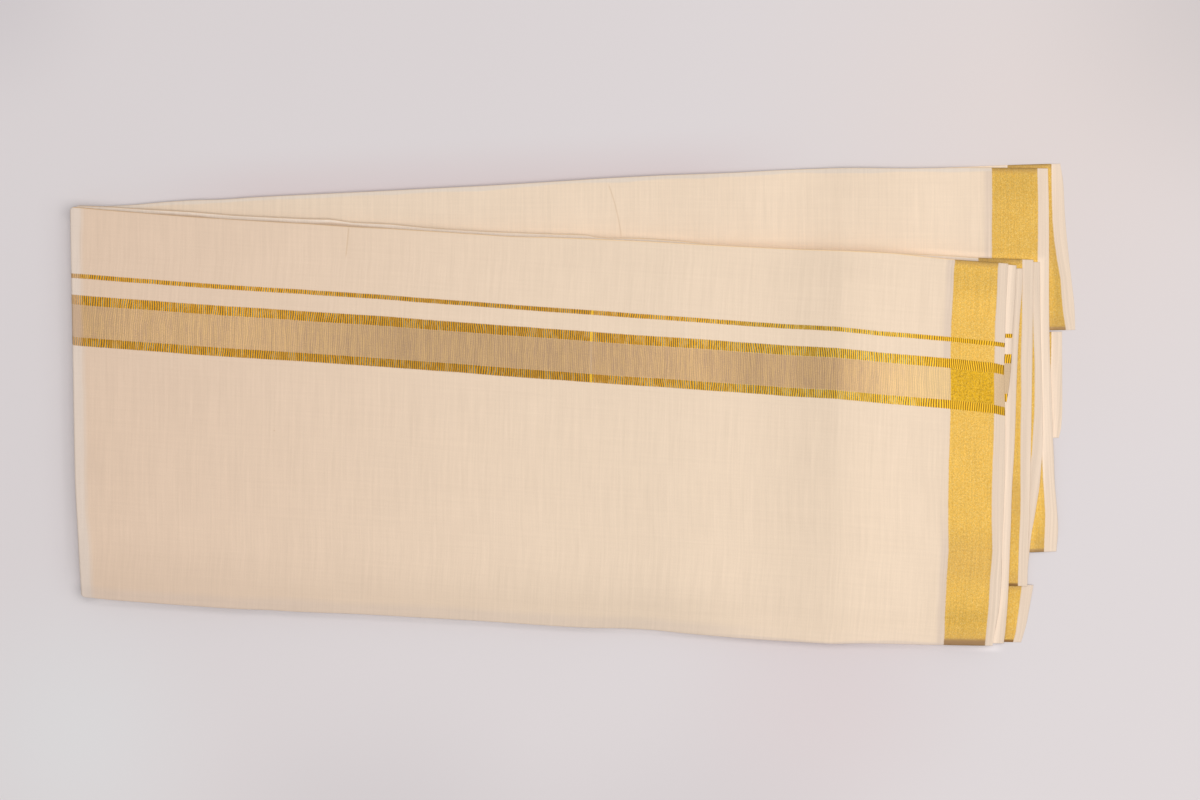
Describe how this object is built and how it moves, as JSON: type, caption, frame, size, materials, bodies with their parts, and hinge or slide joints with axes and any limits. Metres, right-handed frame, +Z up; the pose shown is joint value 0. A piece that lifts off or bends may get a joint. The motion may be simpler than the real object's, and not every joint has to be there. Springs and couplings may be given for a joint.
{
  "type": "folded dhoti cloth",
  "caption": "Cream cotton dhoti with gold zari borders, folded in half across its width and again along its length, its layers fanned and lying flat",
  "frame": {"origin": "centre of the folded cloth's footprint, on the surface that it lies on", "axes": "+X along the folds towards the selvedges, +Y across the folds towards the back packet, +Z up"},
  "size_m": [0.6688, 0.3214, 0.0121],
  "materials": {
    "cotton": "plain woven cotton, cream, with gold zari stripes and borders"
  },
  "bodies": {
    "root": {"front_panel": "cotton", "front_under_leaf": "cotton", "front_core": "cotton", "middle_panel": "cotton", "foot_flap": "cotton", "back_panel": "cotton", "back_core": "cotton", "tail_leaf_upper": "cotton", "tail_leaf_lower": "cotton"}
  },
  "joints": []
}
